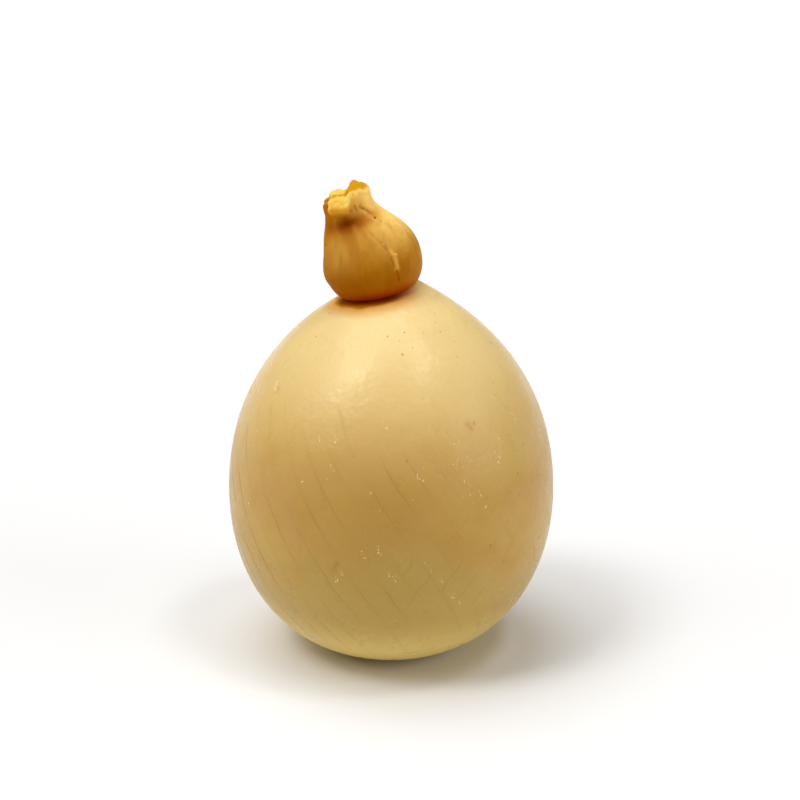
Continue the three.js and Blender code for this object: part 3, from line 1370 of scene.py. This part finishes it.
    def trails(self, tree: BVHTree) -> list[tuple[Mark, list[Vector]]]:
        """Lays every mark's chain on the surface.

        Args:
            tree: The surface.

        Returns:
            Each mark with the places along its chain.
        """
        return [
            (mark, [self.on_surface(zone, turn, height, tree)[0] for turn, height in mark.chain()])
            for zone, mark in self.marks.gathered()
        ]

    @staticmethod
    def neighbours(skin: BMesh) -> KDTree:
        """Sorts the skin's vertices for looking up near ones.

        Args:
            skin: The skin.

        Returns:
            The sorted vertices, by index.
        """
        near = KDTree(len(skin.verts))
        for index, vert in enumerate(skin.verts):
            near.insert(vert.co, index)
        near.balance()
        return near

    def refine(self, skin: BMesh, trails: list[tuple[Mark, list[Vector]]], cuts: int) -> None:
        """Cuts the faces along the trails finer.

        Args:
            skin: The skin.
            trails: Each mark with the places along its chain.
            cuts: How many cuts go through each edge.
        """
        near = self.neighbours(skin)
        skin.verts.ensure_lookup_table()
        edges: dict[BMEdge, None] = {}
        for mark, trail in trails:
            for place in trail:
                close = near.find_range(place, mark.reach) or [near.find(place)]
                for _, index, _ in close:
                    for face in skin.verts[index].link_faces:
                        edges.update(dict.fromkeys(face.edges))
        bmesh.ops.subdivide_edges(skin, edges=list(edges), cuts=cuts, use_grid_fill=True)

    def work(self, skin: BMesh, trails: list[tuple[Mark, list[Vector]]]) -> None:
        """Works the net's lines, the torn lobes' crumble and the marks into the skin along its normals.

        Args:
            skin: The refined skin.
            trails: Each mark with the places along its chain.
        """
        layers = {tint: skin.verts.layers.float[tint.value] for tint in Tint}
        near = self.neighbours(skin)
        skin.normal_update()
        skin.verts.ensure_lookup_table()
        normals = [vert.normal.copy() for vert in skin.verts]
        depths = [self.net.depth * vert[layers[Tint.LINE]] for vert in skin.verts]
        for index, vert in enumerate(skin.verts):
            torn = max(vert[layers[Tint.LIP]], vert[layers[Tint.TORN]])
            if torn > WELD:
                depths[index] += torn * self.crumble.at(vert.co)
        for mark, trail in trails:
            away: dict[int, float] = {}
            for place in trail:
                for _, index, distance in near.find_range(place, mark.reach):
                    away[index] = min(distance, away.get(index, distance))
            for index, distance in away.items():
                vert = skin.verts[index]
                share = bump(distance * (1.0 + self.mark_ragged.at(vert.co)), 0.0, mark.width)
                vert[layers[Tint.STAIN_AND_SHADE]] = max(vert[layers[Tint.STAIN_AND_SHADE]], mark.stain_and_shade * share)
                vert[layers[Tint.PALE]] = max(vert[layers[Tint.PALE]], mark.pale * share)
                depths[index] += mark.depth * share
        for vert, normal, depth in zip(skin.verts, normals, depths):
            vert.co -= normal * depth

    def build(self) -> Object:
        """Makes the cheese's mesh and its object.

        Returns:
            The piece that stands for the whole cheese.
        """
        skin = self.turned()
        self.set_down(skin)
        trails = self.trails(BVHTree.FromBMesh(skin))
        narrow = [(mark, trail) for mark, trail in trails if mark.width < self.mark_wide]
        self.refine(skin, narrow, self.mark_cuts)
        fine = [(mark, trail) for mark, trail in narrow if len(mark.places) == 1]
        self.refine(skin, fine, self.fine_cuts)
        self.work(skin, trails)
        self.surface = BVHTree.FromBMesh(skin)
        return added("whole_cheese", skin)

    def dress(self, piece: Object) -> None:
        """Gives the piece its finishes and its place in the frame.

        Args:
            piece: The whole cheese.
        """
        for finish in (self.body_finish, self.head_finish):
            piece.data.materials.append(finish.make(self.net))
        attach(piece, "root")
        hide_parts("cheese")


@dataclass
class RindFlecks:
    """Small pale flecks in drifts along the net's lines, and a few strays all around."""

    cheese: Cheese
    drifts: tuple[Place, ...] = (
        (-26.9, 124.5), (-20.5, 112.9), (-20.2, 110.9), (-27.0, 111.7), (-21.0, 101.6), (-2.4, 119.4),
        (-4.2, 69.8), (-8.9, 66.7), (-16.0, 57.7), (-18.2, 54.1), (0.1, 58.8), (-37.9, 124.1),
        (13.3, 127.2), (48.4, 125.1), (23.3, 114.3), (23.6, 109.2), (24.0, 103.7), (22.9, 101.2),
        (28.7, 103.4), (26.1, 95.0), (28.6, 87.5), (33.2, 83.1), (42.7, 109.0), (40.5, 102.9),
        (40.0, 101.2), (54.4, 114.8), (10.6, 102.5), (9.6, 99.6), (12.6, 60.9), (17.1, 55.5),
        (24.3, 43.3), (67.7, 74.6), (31.1, 89.4), (24.6, 89.1),
    )
    head_flecks: tuple[Place, ...] = ((26.9, 181.6), (49.4, 176.0))
    back_drifts: int = 40
    back_azimuths: Place = (60.0, 310.0)
    back_heights: Place = (40.0, 130.0)
    fewest: int = 2
    most: int = 7
    drift_wide: float = 0.45
    drift_tall: float = 1.4
    strays: int = 110
    stray_azimuths: Place = (-180.0, 180.0)
    stray_heights: Place = (30.0, 145.0)
    seed: int = 11
    smallest: float = 0.1
    largest: float = 0.31
    longest: float = 2.6
    flatness: float = 0.5
    slant: float = 0.5
    roundness: int = 2
    finish: FleckFinish = FleckFinish()

    def places(self, chance: random.Random) -> Iterator[tuple[Zone, float, float]]:
        """Picks where the flecks lie.

        Args:
            chance: The seeded source of chance.

        Yields:
            The zone, azimuth and height of each fleck.
        """
        drifts = list(self.drifts)
        for _ in range(self.back_drifts):
            drifts.append((chance.uniform(*self.back_azimuths), chance.uniform(*self.back_heights)))
        for azimuth, height in drifts:
            for _ in range(chance.randint(self.fewest, self.most)):
                fall = chance.gauss(0.0, self.drift_tall)
                sway = chance.gauss(0.0, self.drift_wide)
                yield Zone.BODY, azimuth - self.cheese.net.turn * fall + sway, height + fall
        for _ in range(self.strays):
            yield Zone.BODY, chance.uniform(*self.stray_azimuths), chance.uniform(*self.stray_heights)
        for azimuth, height in self.head_flecks:
            yield Zone.HEAD, azimuth, height

    def build(self) -> Object:
        """Makes the flecks' mesh and its object.

        Returns:
            The piece that holds every fleck.
        """
        chance = random.Random(self.seed)
        shape = bmesh.new()
        for zone, azimuth, height in self.places(chance):
            place, normal = self.cheese.on_surface(zone, azimuth, height, self.cheese.surface)
            size = chance.uniform(self.smallest, self.largest)
            spin = Matrix.Rotation(chance.gauss(0.0, self.slant), 4, "Z")
            long = size * chance.uniform(1.0, self.longest)
            scale = Matrix.Diagonal((size, long, size * self.flatness, 1.0))
            stand = Matrix.Translation(place) @ normal.to_track_quat("Z", "Y").to_matrix().to_4x4()
            form = stand @ spin @ scale
            bmesh.ops.create_icosphere(shape, subdivisions=self.roundness, radius=1.0, matrix=form)
        return added("rind_flecks", shape)

    def dress(self, piece: Object) -> None:
        """Gives the flecks their finish and their place in the frame.

        Args:
            piece: All the flecks.
        """
        piece.data.materials.append(self.finish.make())
        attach(piece, "root")


@dataclass(frozen=True)
class SoftLight:
    """One broad, far-off soft light: where it comes from, how wide it looks and its strength."""

    name: str
    direction: tuple[float, float, float]
    width: float
    power: float

    def hang(self) -> None:
        """Hangs the light, shining from its direction."""
        lamp = bpy.data.lights.new(self.name, "SUN")
        lamp.angle = math.radians(self.width)
        lamp.energy = self.power
        holder = bpy.data.objects.new(self.name, lamp)
        toward = Vector(self.direction).normalized()
        holder.location = toward
        holder.rotation_euler = toward.to_track_quat("Z", "Y").to_euler()
        bpy.context.scene.collection.objects.link(holder)


@dataclass
class Studio:
    """Pale floor, soft lights, white surroundings and the camera."""

    floor_side: float = 20.0
    floor_rise: float = 1.0
    floor_cells: int = 3
    floor_finish: FloorFinish = FloorFinish()
    surround: float = 0.105
    surround_colour: Colour = (1.0, 0.97, 0.92, 1.0)
    lights: tuple[SoftLight, ...] = (
        SoftLight("overhead", (-0.20, 0.08, 0.975), 45.0, 1.7),
        SoftLight("left_front", (-0.46, -0.30, 0.83), 18.0, 0.85),
        SoftLight("left_side", (-0.70, -0.25, 0.67), 30.0, 0.42),
        SoftLight("right_upper", (0.33, -0.14, 0.93), 12.0, 0.45),
        SoftLight("right_lower", (0.34, -0.36, 0.87), 12.0, 0.15),
        SoftLight("right_low", (0.86, -0.36, 0.36), 40.0, 0.7),
    )
    lens: float = 70.0
    sensor: float = 36.0
    eye: tuple[float, float, float] = (0.0, -0.6474, 0.3053)
    aim: tuple[float, float, float] = (0.0040, -0.0006, 0.1114)

    def lay_floor(self) -> Object:
        """Lays the floor that the cheese stands on, rising far away so that it fills the background.

        Returns:
            The floor.
        """
        sheet = bmesh.new()
        half = self.floor_side / (2.0 * MM)
        bmesh.ops.create_grid(sheet, x_segments=self.floor_cells, y_segments=self.floor_cells, size=half)
        edge = [vert for vert in sheet.verts if vert.is_boundary]
        bmesh.ops.translate(sheet, vec=(0.0, 0.0, self.floor_rise / MM), verts=edge)
        floor = added("pale_floor", sheet)
        floor.data.materials.append(self.floor_finish.make())
        return floor

    def light(self) -> None:
        """Hangs the lights and whitens the surroundings."""
        for lamp in self.lights:
            lamp.hang()
        world = bpy.data.worlds.new("surround")
        world.use_nodes = True
        back = world.node_tree.nodes["Background"]
        back.inputs["Color"].default_value = self.surround_colour
        back.inputs["Strength"].default_value = self.surround
        scene = bpy.context.scene
        scene.world = world
        scene.view_settings.view_transform = "Standard"

    def stand_camera(self) -> None:
        """Stands the camera at the photograph's viewing angle."""
        camera = bpy.data.cameras.new("camera")
        camera.lens = self.lens
        camera.sensor_width = self.sensor
        holder = bpy.data.objects.new("camera", camera)
        holder.location = self.eye
        holder.rotation_euler = (Vector(self.aim) - Vector(self.eye)).to_track_quat("-Z", "Y").to_euler()
        bpy.context.scene.collection.objects.link(holder)
        bpy.context.scene.camera = holder


def main() -> None:
    """Builds the cheese and its surroundings in order and reports each piece."""
    logging.basicConfig(level=logging.INFO, format="%(name)s: %(message)s")
    cheese = Cheese()
    flecks = RindFlecks(cheese)
    for part in (cheese, flecks):
        piece = part.build()
        part.dress(piece)
        triangles = sum(len(face.vertices) - 2 for face in piece.data.polygons)
        LOG.info("%s: %d triangles", piece.name, triangles)
    studio = Studio()
    floor = studio.lay_floor()
    LOG.info("%s: %d faces", floor.name, len(floor.data.polygons))
    studio.light()
    studio.stand_camera()


if __name__ == "__main__":
    main()
